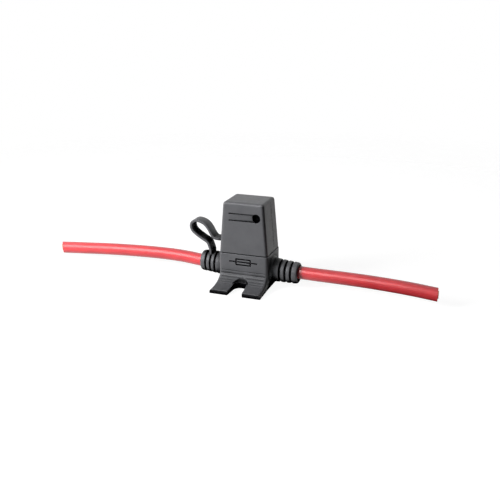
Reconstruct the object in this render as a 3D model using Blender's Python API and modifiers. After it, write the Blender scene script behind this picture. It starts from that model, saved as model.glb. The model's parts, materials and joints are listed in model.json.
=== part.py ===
"""Inline holder for a large blade fuse: a ribbed base moulding with two cable boots and two
mounting feet, a tapered cap on a tether strap, and the fuse, terminals and leads inside.

The object stands with the cables along X, the plain front towards -Y and the cap up +Z.
Its origin is the middle of the base's underside.
"""

import math

import bmesh
import bpy
from mathutils import Matrix, Vector

MM = 0.001

# Clearances, how near two points are made one, and how near a face a point lies on it
SEAT_GAP = 0.3 * MM
BLADE_SIDE_GAP = 0.3 * MM
WELD = 0.001 * MM
ON_FACE = 0.01 * MM

# Steps round a small inner corner and round a small outer edge
SMALL_STEPS = 2
EDGE_STEPS = 3

# Cap, a tapered shell
CAP_WIDTH = 36.8 * MM
CAP_DEPTH = 27.2 * MM
CAP_TOP_WIDTH = 30.6 * MM
CAP_TOP_DEPTH = 25.8 * MM
CAP_HEIGHT = 37.8 * MM
CAP_WALL = 1.5 * MM
CORNER_RADIUS = 2.0 * MM
CORNER_STEPS = 4
CHANNEL_LEFT = -10.8 * MM
CHANNEL_HEIGHT = 5.0 * MM
CHANNEL_RISE = 27.3 * MM
CHANNEL_DEPTH = 1.3 * MM
CHANNEL_START_DEPTH = 0.2 * MM
POCKET_X = 9.9 * MM
POCKET_RADIUS = 3.2 * MM
POCKET_DEPTH = 3.4 * MM
POCKET_WALL = 1.0 * MM
CAP_TAB_RISE = 6.2 * MM
CAP_TAB_LENGTH = 3.2 * MM

# Base moulding, which stands a little proud of the cap all round
RIM_LEDGE = 0.3 * MM
SEAM_HEIGHT = 25.2 * MM
SHOULDER_RADIUS = 0.4 * MM
WELL_FLOOR = 7.4 * MM
CORE_RECESS_DEPTH = 4.2 * MM
CORE_WEB = 4.0 * MM
CORE_MARGIN = 4.6 * MM

# Mounting feet, one in front and one behind
FOOT_REACH = 17.5 * MM
FOOT_WIDTH = 38.6 * MM
LIP_THICKNESS = 3.2 * MM
LIP_RADIUS = 0.6 * MM
FLARE_TOP = 10.0 * MM
FLARE_STEPS = 12
SLOT_RADIUS = 4.9 * MM
SLOT_MOUTH_WIDTH = 11.4 * MM
SLOT_STEPS = 16
SLOT_SETBACK = 6.9 * MM
SCREW_SEAT_HEIGHT = 4.6 * MM
SCREW_SEAT_RADIUS = 6.1 * MM
RIB_LINE_TOP = 12.1 * MM
RIB_LINE_PITCH = 2.25 * MM
RIB_LINE_COUNT = 6
RIB_LINE_RADIUS = 0.3 * MM
RIB_LINE_SIDES = 8
RIB_LINE_TURN = math.radians(9)

# Cable boots
BOOT_AXIS_HEIGHT = 11.8 * MM
BOOT_LENGTH = 19.0 * MM
BOOT_ROOT_RADIUS = 8.8 * MM
BOOT_END_RADIUS = 7.8 * MM
BOOT_END_ROUND = 1.6 * MM
BOOT_END_STEPS = 4
BOOT_ROOT_FILLET = 1.4 * MM
GROOVE_COUNT = 3
GROOVE_PITCH = 3.9 * MM
GROOVE_WIDTH = 1.2 * MM
GROOVE_DEPTH = 1.3 * MM
GROOVE_END_MARGIN = 4.8 * MM
RING_ROUND = 0.5 * MM
MOUTH_RADIUS = 6.1 * MM
MOUTH_DEPTH = 2.4 * MM
TURN_STEPS = 32

# Tether strap
STRAP_WIDTH = 9.0 * MM
STRAP_THICKNESS = 1.9 * MM
ANCHOR_X = -29.6 * MM
ANCHOR_RISE = 1.2 * MM
ANCHOR_SINK = 3.0 * MM
# Route of the strap's middle, as (x, z) from its anchor on the boot up to the cap's tab
STRAP_ROUTE_MM = [
    (-30.4, 24.8), (-32.0, 28.2), (-36.2, 30.7), (-40.7, 33.5), (-43.9, 36.3), (-45.0, 39.4),
    (-44.2, 42.4), (-41.2, 44.1), (-37.4, 43.7), (-33.8, 41.9), (-31.0, 38.7), (-28.6, 34.5),
    (-26.4, 32.1),
]
STRAP_STEPS = 4

# Fuse, a large automotive blade fuse
FUSE_WIDTH = 29.2 * MM
FUSE_THICKNESS = 8.9 * MM
FUSE_HEIGHT = 21.4 * MM
FUSE_CORNER = 1.0 * MM
FUSE_WAIST_HEIGHT = 12.0 * MM
FUSE_WAIST_INSET = 0.9 * MM
FUSE_TOP_SKIN = 1.2 * MM
FUSE_SIDE_SKIN = 0.6 * MM
BLADE_WIDTH = 8.0 * MM
BLADE_THICKNESS = 0.8 * MM
BLADE_LENGTH = 12.9 * MM
BLADE_CENTRE = 9.9 * MM
BLADE_TIP_CHAMFER = 1.2 * MM
LINK_WIDTH = 2.0 * MM
LINK_RISE = 5.0 * MM
LINK_STEPS = 12
TEST_HOLE_LENGTH = 4.0 * MM

# Terminal carrier, which holds the fuse with its blades clear of the well's floor
BLADE_TIP_ROOM = 3.2 * MM
CARRIER_CORNER = 0.7 * MM
FUSE_SEAT_WEB = 1.9 * MM
FUSE_SEAT_DEPTH = 7.3 * MM

# Terminals
TERMINAL_SHEET = 0.7 * MM
BARREL_LENGTH = 7.6 * MM
NECK_LENGTH = 2.6 * MM
GRIP_LENGTH = 3.0 * MM
NECK_WIDTH = 3.0 * MM

# Leads
CABLE_DIAMETER = 9.5 * MM
CONDUCTOR_DIAMETER = 5.3 * MM
CONDUCTOR_TIP_GAP = 1.2 * MM
CONDUCTOR_TIP_ROUND = 0.5 * MM
CABLE_SETBACK = 0.8 * MM
CABLE_SIDES = 3
# Routes from the boots to the cut ends: both leads sag under their own weight
CABLE_RIGHT_ROUTE_MM = [
    (28.0, 0.0, 11.8), (34.0, 0.0, 11.8), (40.0, -0.1, 11.7), (50.0, -0.3, 11.6),
    (62.0, -0.5, 11.65), (75.0, -0.7, 11.65), (87.0, -1.0, 11.6), (98.0, -1.4, 11.4),
    (109.0, -1.9, 11.1), (120.0, -2.4, 10.6), (128.5, -2.8, 10.0), (136.1, -3.1, 9.4),
]
CABLE_LEFT_ROUTE_MM = [
    (-28.0, 0.0, 11.8), (-34.0, 0.05, 11.8), (-40.0, 0.6, 11.85), (-48.0, 1.9, 12.0),
    (-57.0, 3.2, 12.05), (-68.0, 4.3, 11.85), (-82.0, 4.9, 11.45), (-98.0, 5.1, 10.8),
    (-114.0, 5.1, 9.95), (-130.0, 5.1, 8.9), (-146.0, 5.1, 7.6), (-158.0, 5.1, 6.65),
    (-169.5, 5.1, 5.65),
]

# The base's many fine cuts leave slivers that the exact solver can't close
BASE_SOLVER = "MANIFOLD"

# Worked out from the sizes above
BASE_WIDTH = CAP_WIDTH + 2 * RIM_LEDGE
BASE_DEPTH = CAP_DEPTH + 2 * RIM_LEDGE
BASE_FRONT = BASE_DEPTH / 2
FOOT_END = BASE_FRONT + FOOT_REACH
SLOT_CENTRE_Y = BASE_FRONT + SLOT_SETBACK
CAP_BOTTOM = SEAM_HEIGHT + SEAT_GAP
CAP_TOP = CAP_BOTTOM + CAP_HEIGHT
CARRIER_BOTTOM = WELL_FLOOR + SEAT_GAP
FUSE_BOTTOM = WELL_FLOOR + BLADE_TIP_ROOM + BLADE_LENGTH
FUSE_SEAT = FUSE_BOTTOM - SEAT_GAP
CARRIER_TOP = FUSE_SEAT + FUSE_SEAT_DEPTH
FUSE_TOP = FUSE_BOTTOM + FUSE_HEIGHT
TERMINAL_BOTTOM = CARRIER_BOTTOM
TERMINAL_TOP = FUSE_SEAT - FUSE_SEAT_WEB - SEAT_GAP
SOCKET_HALF_X = BLADE_WIDTH / 2 + BLADE_SIDE_GAP + TERMINAL_SHEET
SOCKET_HALF_Y = BLADE_THICKNESS / 2 + SEAT_GAP + TERMINAL_SHEET
BARREL_BORE = CONDUCTOR_DIAMETER / 2 + SEAT_GAP
BARREL_RADIUS = BARREL_BORE + TERMINAL_SHEET
BARREL_START = BLADE_CENTRE + SOCKET_HALF_X - TERMINAL_SHEET / 2
BARREL_END = BARREL_START + BARREL_LENGTH
CABLE_START = BARREL_END + CABLE_SETBACK
GRIP_START = BARREL_END + NECK_LENGTH
GRIP_END = GRIP_START + GRIP_LENGTH
GRIP_BORE = CABLE_DIAMETER / 2 + SEAT_GAP
GRIP_RADIUS = GRIP_BORE + TERMINAL_SHEET
CHAMBER_RADIUS = math.hypot(GRIP_RADIUS, NECK_WIDTH / 2) + SEAT_GAP
BOOT_START = BASE_WIDTH / 2
BOOT_END = BOOT_START + BOOT_LENGTH


def cap_half_width(height, inside=0.0):
    """Half the cap's width at a height, less a wall."""
    share = (height - CAP_BOTTOM) / CAP_HEIGHT
    return (CAP_WIDTH + (CAP_TOP_WIDTH - CAP_WIDTH) * share) / 2 - inside


def cap_half_depth(height, inside=0.0):
    """Half the cap's depth at a height, less a wall."""
    share = (height - CAP_BOTTOM) / CAP_HEIGHT
    return (CAP_DEPTH + (CAP_TOP_DEPTH - CAP_DEPTH) * share) / 2 - inside


CARRIER_HALF_X = cap_half_width(CARRIER_TOP, CAP_WALL + SEAT_GAP)
CARRIER_HALF_Y = cap_half_depth(CARRIER_TOP, CAP_WALL + SEAT_GAP)


# Helpers

def clear_scene():
    for obj in list(bpy.data.objects):
        bpy.data.objects.remove(obj, do_unlink=True)


def new_collection(name):
    made = bpy.data.collections.new(name)
    bpy.context.scene.collection.children.link(made)
    return made


clear_scene()
PARTS = new_collection("inline_fuse_holder")
CUTTERS = new_collection("cutters")


def material(name, colour, roughness, metallic=0.0, transmission=0.0):
    made = bpy.data.materials.new(name)
    made.use_nodes = True
    shader = made.node_tree.nodes["Principled BSDF"]
    shader.inputs["Base Color"].default_value = (*colour, 1.0)
    shader.inputs["Roughness"].default_value = roughness
    shader.inputs["Metallic"].default_value = metallic
    shader.inputs["Transmission Weight"].default_value = transmission
    return made


def filed(name, data, finish):
    """A new object: a part when it has a finish, or else a hidden cutter."""
    obj = bpy.data.objects.new(name, data)
    if finish is None:
        CUTTERS.objects.link(obj)
        obj.hide_render = True
        obj.display_type = "WIRE"
    else:
        PARTS.objects.link(obj)
        data.materials.append(finish)
    return obj


def object_from(name, bm, finish=None):
    """A mesh object from a closed or open bmesh, which is used up."""
    bmesh.ops.recalc_face_normals(bm, faces=bm.faces)
    mesh = bpy.data.meshes.new(name)
    bm.to_mesh(mesh)
    bm.free()
    return filed(name, mesh, finish)


def box_bmesh(low, high):
    bm = bmesh.new()
    low, high = Vector(low), Vector(high)
    place = Matrix.Translation((low + high) / 2) @ Matrix.Diagonal((*(high - low), 1.0))
    bmesh.ops.create_cube(bm, size=1.0, matrix=place)
    return bm


def box(name, low, high, finish=None):
    return object_from(name, box_bmesh(low, high), finish)


def round_edges(bm, chosen, radius, segments):
    bmesh.ops.bevel(
        bm, geom=[e for e in bm.edges if chosen(e)], offset=radius, offset_type="OFFSET",
        segments=segments, profile=0.5, affect="EDGES", clamp_overlap=False,
    )


def upright(edge):
    """True for an edge that stands up, whether plumb or leaning with a tapered wall."""
    along = (edge.verts[1].co - edge.verts[0].co).normalized()
    return abs(along.z) > 0.9


def turned(name, profile, steps, finish=None):
    """A closed solid of revolution about Z, from (radius, height) points, top to bottom."""
    bm = bmesh.new()
    points = [bm.verts.new((radius, 0.0, height)) for radius, height in profile]
    for first, second in zip(points, points[1:]):
        bm.edges.new((first, second))
    mesh = bpy.data.meshes.new(name)
    bm.to_mesh(mesh)
    bm.free()
    obj = filed(name, mesh, finish)
    screw = obj.modifiers.new("Turn", "SCREW")
    screw.axis = "Z"
    screw.angle = math.tau
    screw.steps = steps
    screw.render_steps = steps
    screw.use_merge_vertices = True
    screw.merge_threshold = WELD
    return obj


def outline_solid(name, outline, thickness, finish=None):
    """A flat outline of (x, y) points extruded evenly about its plane, as a mesh along Z."""
    curve = bpy.data.curves.new(name + "_outline", "CURVE")
    curve.dimensions = "2D"
    curve.fill_mode = "BOTH"
    curve.extrude = thickness / 2
    spline = curve.splines.new("POLY")
    spline.points.add(len(outline) - 1)
    for point, (x, y) in zip(spline.points, outline):
        point.co = (x, y, 0.0, 1.0)
    spline.use_cyclic_u = True
    guide = bpy.data.objects.new(name + "_outline", curve)
    bpy.context.scene.collection.objects.link(guide)
    graph = bpy.context.evaluated_depsgraph_get()
    mesh = bpy.data.meshes.new_from_object(guide.evaluated_get(graph))
    bpy.data.objects.remove(guide, do_unlink=True)
    bm = bmesh.new()
    bm.from_mesh(mesh)
    bpy.data.meshes.remove(mesh)
    bmesh.ops.remove_doubles(bm, verts=bm.verts, dist=WELD)
    return object_from(name, bm, finish)


def smooth_path(route, steps):
    """Points along a smooth curve through the route, as many steps to each stretch."""
    route = [Vector(point) for point in route]
    before = 2 * route[0] - route[1]
    after = 2 * route[-1] - route[-2]
    knots = [before, *route, after]
    points = []
    for a, b, c, d in zip(knots, knots[1:], knots[2:], knots[3:]):
        for step in range(steps):
            t = step / steps
            points.append(
                b + (c - a) * (t / 2) + (2 * a - 5 * b + 4 * c - d) * (t * t / 2)
                + (3 * b - a - 3 * c + d) * (t ** 3 / 2)
            )
    return [*points, route[-1]]


def ribbon(name, path, width, thickness, finish=None):
    """A strip of even thickness whose middle follows a path in the XZ plane."""
    bm = bmesh.new()
    rows = [
        [bm.verts.new((x, side * width / 2, z)) for side in (-1, 1)] for x, _, z in path
    ]
    for first, second in zip(rows, rows[1:]):
        bm.faces.new((first[0], first[1], second[1], second[0]))
    mesh = bpy.data.meshes.new(name)
    bm.to_mesh(mesh)
    bm.free()
    obj = filed(name, mesh, finish)
    solid = obj.modifiers.new("Thickness", "SOLIDIFY")
    solid.thickness = thickness
    solid.offset = 0.0
    solid.use_even_offset = True
    return obj


def boolean(target, other, operation, solver):
    step = target.modifiers.new(other.name, "BOOLEAN")
    step.operation = operation
    step.solver = solver
    step.object = other


def cut(target, *others, solver="EXACT"):
    for other in others:
        boolean(target, other, "DIFFERENCE", solver)


def join(target, *others, solver="EXACT"):
    for other in others:
        boolean(target, other, "UNION", solver)


def lay_along_x(obj, side):
    """Turn a part made along +Z so that it points out along the lead on its side."""
    obj.rotation_euler = (0.0, side * math.pi / 2, 0.0)
    obj.location = (0.0, 0.0, BOOT_AXIS_HEIGHT)


# Base moulding

def flare_curve():
    """(y, z) points down the front of a foot, from the upright wall to the lip."""
    drop = FLARE_TOP - LIP_THICKNESS
    points = []
    for step in range(FLARE_STEPS + 1):
        angle = math.pi / 2 * step / FLARE_STEPS
        points.append(
            (BASE_FRONT + FOOT_REACH * (1 - math.cos(angle)), FLARE_TOP - drop * math.sin(angle))
        )
    return points


def half_section():
    """(y, z) points of the rear half of the base's section, from the seam to the underside."""
    return [(BASE_FRONT, SEAM_HEIGHT), *flare_curve(), (FOOT_END, 0.0)]


def widen_foot(bm):
    """Spread the feet evenly from the base's width at the wall to their own at the lip."""
    for vert in bm.verts:
        share = max(0.0, abs(vert.co.y) - BASE_FRONT) / FOOT_REACH
        vert.co.x *= 1 + share * (FOOT_WIDTH / BASE_WIDTH - 1)


def base_block(finish):
    """The base's section extruded along X, with its corners and shoulder rounded."""
    rear = half_section()
    outline = [(-y, z) for y, z in reversed(rear)] + rear
    obj = outline_solid("base_body", outline, BASE_WIDTH, finish)
    bm = bmesh.new()
    bm.from_mesh(obj.data)
    stand = Matrix(((0, 0, 1, 0), (1, 0, 0, 0), (0, 1, 0, 0), (0, 0, 0, 1)))
    bmesh.ops.transform(bm, matrix=stand, verts=bm.verts)
    bmesh.ops.dissolve_limit(bm, angle_limit=math.radians(1), verts=bm.verts, edges=bm.edges)
    for side in (-1, 1):
        everything = [*bm.verts, *bm.edges, *bm.faces]
        bmesh.ops.bisect_plane(
            bm, geom=everything, dist=WELD, plane_co=(0.0, side * BASE_FRONT, 0.0),
            plane_no=(0.0, 1.0, 0.0),
        )
    bmesh.ops.remove_doubles(bm, verts=bm.verts, dist=WELD)

    def side_edge(edge):
        ends = [v.co for v in edge.verts]
        sides = all(abs(c.x) > BASE_WIDTH / 2 - ON_FACE for c in ends)
        across = ends[0].x * ends[1].x < 0
        floor = all(c.z < ON_FACE for c in ends)
        top = all(c.z > SEAM_HEIGHT - ON_FACE for c in ends)
        lip = all(abs(abs(c.y) - FOOT_END) < ON_FACE for c in ends)
        flat = edge.calc_face_angle(0) < 1
        return sides and not (across or floor or top or lip or flat)

    round_edges(bm, side_edge, CORNER_RADIUS, CORNER_STEPS)

    def shoulder_edge(edge):
        rim = all(v.co.z > SEAM_HEIGHT - ON_FACE for v in edge.verts)
        return rim and len(edge.link_faces) == 2 and edge.calc_face_angle(0) > 1.0

    round_edges(bm, shoulder_edge, SHOULDER_RADIUS, 1)

    def lip_edge(edge):
        ends = [v.co for v in edge.verts]
        return all(
            abs(abs(c.y) - FOOT_END) < ON_FACE and abs(c.z - LIP_THICKNESS) < ON_FACE for c in ends
        )

    round_edges(bm, lip_edge, LIP_RADIUS, SMALL_STEPS)
    bmesh.ops.remove_doubles(bm, verts=bm.verts, dist=WELD)
    widen_foot(bm)
    bmesh.ops.recalc_face_normals(bm, faces=bm.faces)
    bm.to_mesh(obj.data)
    bm.free()
    return obj


def boot_radius(distance):
    """The boot's outer radius at a distance along the lead's axis from the middle."""
    share = (distance - BOOT_START) / BOOT_LENGTH
    return BOOT_ROOT_RADIUS + (BOOT_END_RADIUS - BOOT_ROOT_RADIUS) * share


def boot_profile():
    """(radius, distance) points of a ribbed boot, from its end back into the base."""
    profile = [(0.0, BOOT_END)]
    for step in range(BOOT_END_STEPS + 1):
        angle = math.pi / 2 * step / BOOT_END_STEPS
        profile.append(
            (
                boot_radius(BOOT_END) - BOOT_END_ROUND * (1 - math.sin(angle)),
                BOOT_END - BOOT_END_ROUND * (1 - math.cos(angle)),
            )
        )
    for number in range(GROOVE_COUNT):
        middle = BOOT_END - GROOVE_END_MARGIN - number * GROOVE_PITCH
        near, far = middle - GROOVE_WIDTH / 2, middle + GROOVE_WIDTH / 2
        round_in = RING_ROUND * (1 - math.sqrt(0.5))
        profile += [
            (boot_radius(far), far + RING_ROUND),
            (boot_radius(far) - round_in, far + round_in),
            (boot_radius(far) - RING_ROUND, far),
            (boot_radius(far) - GROOVE_DEPTH, far - RING_ROUND / 2),
            (boot_radius(near) - GROOVE_DEPTH, near + RING_ROUND / 2),
            (boot_radius(near) - RING_ROUND, near),
            (boot_radius(near) - round_in, near - round_in),
            (boot_radius(near), near - RING_ROUND),
        ]
    inner = BOOT_START - CORNER_RADIUS / 2
    third = BOOT_ROOT_FILLET / 3
    profile += [
        (BOOT_ROOT_RADIUS, BOOT_START + BOOT_ROOT_FILLET),
        (BOOT_ROOT_RADIUS + third, BOOT_START + third),
        (BOOT_ROOT_RADIUS + BOOT_ROOT_FILLET, BOOT_START),
        (BOOT_ROOT_RADIUS, inner),
        (0.0, inner),
    ]
    return profile


def bore_profile():
    """(radius, distance) points of the way through a boot, from its mouth to the well."""
    grip = CABLE_DIAMETER / 2 + SEAT_GAP
    chamber_end = GRIP_END + SEAT_GAP
    return [
        (0.0, BOOT_END + SEAT_GAP),
        (MOUTH_RADIUS, BOOT_END + SEAT_GAP),
        (MOUTH_RADIUS, BOOT_END - MOUTH_DEPTH / 2),
        (grip, BOOT_END - MOUTH_DEPTH),
        (grip, chamber_end + CHAMBER_RADIUS - grip),
        (CHAMBER_RADIUS, chamber_end),
        (CHAMBER_RADIUS, CARRIER_HALF_X),
        (0.0, CARRIER_HALF_X),
    ]


def screw_slot(name, side):
    """The open-ended slot of one foot, with the flat seat that a screw's head bears on."""
    y = side * SLOT_CENTRE_Y
    angles = [math.pi * step / SLOT_STEPS for step in range(SLOT_STEPS + 1)]
    arc = [(SLOT_RADIUS * math.cos(a), y - side * SLOT_RADIUS * math.sin(a)) for a in angles]
    mouth = side * (FOOT_END + LIP_THICKNESS)
    half = SLOT_MOUTH_WIDTH / 2
    outline = [(half, mouth), *arc, (-half, mouth)]
    slot = outline_solid(name + "_slot", outline, 2 * SEAM_HEIGHT)
    bm = bmesh.new()
    height = SEAM_HEIGHT / 2
    place = Matrix.Translation((0.0, y, SCREW_SEAT_HEIGHT + height / 2))
    bmesh.ops.create_cone(
        bm, cap_ends=True, segments=TURN_STEPS, radius1=SCREW_SEAT_RADIUS,
        radius2=SCREW_SEAT_RADIUS, depth=height, matrix=place,
    )
    seat = object_from(name + "_seat", bm)
    return slot, seat


def rib_line_places():
    """(y, z) of each fine groove: down the wall and on over the flare at an even pitch."""
    path = [(BASE_FRONT, SEAM_HEIGHT), *flare_curve()]
    places = []
    wanted = SEAM_HEIGHT - RIB_LINE_TOP
    travelled = 0.0
    for (y0, z0), (y1, z1) in zip(path, path[1:]):
        length = math.hypot(y1 - y0, z1 - z0)
        while wanted < travelled + length and len(places) < RIB_LINE_COUNT:
            share = (wanted - travelled) / length
            places.append((y0 + (y1 - y0) * share, z0 + (z1 - z0) * share))
            wanted += RIB_LINE_PITCH
        travelled += length
    return places


def rib_line(name, side, y, z):
    """A thin round bar that cuts one groove, turned so that no flat lies along the wall."""
    bm = bmesh.new()
    lay = Matrix.Rotation(math.pi / 2, 4, "Y") @ Matrix.Rotation(side * RIB_LINE_TURN, 4, "Z")
    along = Matrix.Translation((0.0, side * y, z)) @ lay
    bmesh.ops.create_cone(
        bm, cap_ends=True, segments=RIB_LINE_SIDES, radius1=RIB_LINE_RADIUS,
        radius2=RIB_LINE_RADIUS, depth=FOOT_WIDTH + BASE_WIDTH / 2, matrix=along,
    )
    return object_from(name, bm)


def core_recess(name, side):
    """One of the two hollows under the base, either side of the middle web."""
    x0, x1 = CORE_WEB / 2, BASE_WIDTH / 2 - CORE_MARGIN
    low = (min(side * x0, side * x1), -BASE_FRONT + CORE_MARGIN, -CORE_RECESS_DEPTH)
    high = (max(side * x0, side * x1), BASE_FRONT - CORE_MARGIN, CORE_RECESS_DEPTH)
    bm = box_bmesh(low, high)
    round_edges(bm, upright, CORNER_RADIUS, SMALL_STEPS)
    return object_from(name, bm)


def anchor_top():
    return BOOT_AXIS_HEIGHT + BOOT_ROOT_RADIUS + ANCHOR_RISE


def strap_anchor():
    """The pad that carries the strap's lower end on top of the left boot."""
    half = STRAP_THICKNESS / 2
    foot = BOOT_AXIS_HEIGHT + BOOT_ROOT_RADIUS - ANCHOR_SINK
    return box(
        "strap_anchor", (ANCHOR_X - half, -STRAP_WIDTH / 2, foot),
        (ANCHOR_X + half, STRAP_WIDTH / 2, anchor_top()),
    )


def build_base(finish):
    base = base_block(finish)
    half_x, half_y = CARRIER_HALF_X + SEAT_GAP, CARRIER_HALF_Y + SEAT_GAP
    for name, side in (("left", -1), ("right", 1)):
        boot = turned(f"{name}_boot", boot_profile(), TURN_STEPS)
        lay_along_x(boot, side)
        join(base, boot, solver=BASE_SOLVER)
    join(base, strap_anchor(), solver=BASE_SOLVER)
    bm = box_bmesh((-half_x, -half_y, WELL_FLOOR), (half_x, half_y, SEAM_HEIGHT + CAP_WALL))
    round_edges(bm, upright, CARRIER_CORNER + SEAT_GAP, SMALL_STEPS)
    cut(base, object_from("well", bm), solver=BASE_SOLVER)
    for name, side in (("left", -1), ("right", 1)):
        bore = turned(f"{name}_bore", bore_profile(), TURN_STEPS)
        lay_along_x(bore, side)
        cut(base, bore, core_recess(f"{name}_core_recess", side), solver=BASE_SOLVER)
    for name, side in (("front", -1), ("rear", 1)):
        cut(base, *screw_slot(name, side), solver=BASE_SOLVER)
        for number, (y, z) in enumerate(rib_line_places(), start=1):
            line = rib_line(f"{name}_rib_line_{number}", side, y, z)
            cut(base, line, solver=BASE_SOLVER)
    return base


# Cap and its strap

def cap_shell(finish):
    """The tapered shell, open below: an open surface with its edges rounded, then given a wall."""
    bm = box_bmesh(
        (-CAP_WIDTH / 2, -CAP_DEPTH / 2, CAP_BOTTOM), (CAP_WIDTH / 2, CAP_DEPTH / 2, CAP_TOP)
    )
    for vert in bm.verts:
        if vert.co.z > (CAP_BOTTOM + CAP_TOP) / 2:
            vert.co.x *= CAP_TOP_WIDTH / CAP_WIDTH
            vert.co.y *= CAP_TOP_DEPTH / CAP_DEPTH
    floor = min(bm.faces, key=lambda face: face.calc_center_median().z)
    bmesh.ops.delete(bm, geom=[floor], context="FACES_ONLY")
    round_edges(bm, lambda edge: len(edge.link_faces) == 2, CORNER_RADIUS, CORNER_STEPS)
    shell = object_from("cap", bm, finish)
    wall = shell.modifiers.new("Wall", "SOLIDIFY")
    wall.thickness = CAP_WALL
    wall.offset = -1.0
    wall.use_even_offset = True
    return shell


def lean_of_front():
    """The angle by which the cap's front leans back."""
    return math.atan2((CAP_DEPTH - CAP_TOP_DEPTH) / 2, CAP_HEIGHT)


def facing_front(x, rise):
    """A frame on the cap's front, at a height above its rim, with its Z pointing out."""
    y = -cap_half_depth(CAP_BOTTOM + rise)
    turn = Matrix.Rotation(math.pi / 2 - lean_of_front(), 4, "X")
    return Matrix.Translation((x, y, CAP_BOTTOM + rise)) @ turn


def front_disc(name, x, radius, inner, outer):
    """A round plug through the cap's front, between two distances out from its face."""
    bm = bmesh.new()
    middle = Matrix.Translation((0.0, 0.0, (inner + outer) / 2))
    bmesh.ops.create_cone(
        bm, cap_ends=True, segments=TURN_STEPS, radius1=radius, radius2=radius,
        depth=outer - inner, matrix=facing_front(x, CHANNEL_RISE) @ middle,
    )
    return object_from(name, bm)


def front_bar(name, left, right, height, inner, outer, inner_left):
    """A bar through the cap's front that may be shallower at its left end."""
    bm = box_bmesh((left, -height / 2, inner), (right, height / 2, outer))
    for vert in bm.verts:
        if vert.co.x < 0 and vert.co.z < (inner + outer) / 2:
            vert.co.z = inner_left
    bmesh.ops.transform(bm, matrix=facing_front(0.0, CHANNEL_RISE), verts=bm.verts)
    return object_from(name, bm)


def build_cap(finish):
    cap = cap_shell(finish)
    tab_height = CAP_BOTTOM + CAP_TAB_RISE
    wall_x = cap_half_width(tab_height)
    tab = box(
        "cap_tab",
        (-wall_x - CAP_TAB_LENGTH, -STRAP_WIDTH / 2, tab_height - STRAP_THICKNESS / 2),
        (-wall_x + CAP_WALL / 2, STRAP_WIDTH / 2, tab_height + STRAP_THICKNESS / 2),
    )
    inside = -CAP_WALL / 2
    boss_end = -(POCKET_DEPTH + POCKET_WALL)
    backing_end = -(CHANNEL_DEPTH + POCKET_WALL)
    join(
        cap, tab,
        front_disc("pocket_boss", POCKET_X, POCKET_RADIUS + POCKET_WALL, boss_end, inside),
        front_bar(
            "channel_backing", CHANNEL_LEFT - POCKET_WALL, POCKET_X,
            CHANNEL_HEIGHT + 2 * POCKET_WALL, backing_end, inside, backing_end,
        ),
    )
    cut(
        cap,
        front_disc("pocket", POCKET_X, POCKET_RADIUS, -POCKET_DEPTH, CAP_WALL),
        front_bar(
            "channel", CHANNEL_LEFT, POCKET_X, CHANNEL_HEIGHT, -CHANNEL_DEPTH, CAP_WALL,
            -CHANNEL_START_DEPTH,
        ),
    )
    return cap


def strap_path():
    """The strap's middle, from just above its pad to just short of the cap's tab."""
    tab_height = CAP_BOTTOM + CAP_TAB_RISE
    tab_end = -cap_half_width(tab_height) - CAP_TAB_LENGTH
    route = [(ANCHOR_X, 0.0, anchor_top() + SEAT_GAP)]
    route += [(x * MM, 0.0, z * MM) for x, z in STRAP_ROUTE_MM]
    route.append((tab_end - STRAP_THICKNESS, 0.0, tab_height))
    route.append((tab_end - SEAT_GAP, 0.0, tab_height))
    return smooth_path(route, STRAP_STEPS)


# Fuse

def build_fuse(housing_finish, element_finish):
    half_x, half_y = FUSE_WIDTH / 2, FUSE_THICKNESS / 2
    bm = box_bmesh((-half_x, -half_y, FUSE_BOTTOM), (half_x, half_y, FUSE_TOP))
    round_edges(bm, upright, FUSE_CORNER, EDGE_STEPS)
    round_edges(
        bm, lambda e: all(v.co.z > FUSE_TOP - ON_FACE for v in e.verts), FUSE_CORNER / 2,
        SMALL_STEPS,
    )
    housing = object_from("fuse_housing", bm, housing_finish)
    for name, side in (("front", -1), ("rear", 1)):
        waist = box(
            f"fuse_{name}_waist",
            (-half_x - FUSE_CORNER, min(side * half_y * 2, side * (half_y - FUSE_WAIST_INSET)),
             FUSE_BOTTOM - FUSE_CORNER),
            (half_x + FUSE_CORNER, max(side * half_y * 2, side * (half_y - FUSE_WAIST_INSET)),
             FUSE_BOTTOM + FUSE_WAIST_HEIGHT),
        )
        cut(housing, waist)
    cavity_x = BLADE_CENTRE + BLADE_WIDTH / 2 + SEAT_GAP
    cavity_y = BLADE_THICKNESS / 2 + SEAT_GAP
    cavity = box(
        "fuse_cavity", (-cavity_x, -cavity_y, FUSE_BOTTOM - FUSE_CORNER),
        (cavity_x, cavity_y, FUSE_TOP - FUSE_TOP_SKIN),
    )
    cut(housing, cavity)
    for name, side in (("left", -1), ("right", 1)):
        x = side * BLADE_CENTRE
        hole = box(
            f"fuse_{name}_test_hole",
            (x - TEST_HOLE_LENGTH / 2, -cavity_y / 2, FUSE_TOP - 2 * FUSE_TOP_SKIN),
            (x + TEST_HOLE_LENGTH / 2, cavity_y / 2, FUSE_TOP + FUSE_TOP_SKIN),
        )
        cut(housing, hole)
    element = outline_solid("fuse_element", element_outline(), BLADE_THICKNESS, element_finish)
    stand_in_xz(element)
    return housing, element


def stand_in_xz(obj):
    """Stand a flat outline up, so that its y becomes height."""
    obj.data.transform(Matrix.Rotation(math.pi / 2, 4, "X"))


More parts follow.
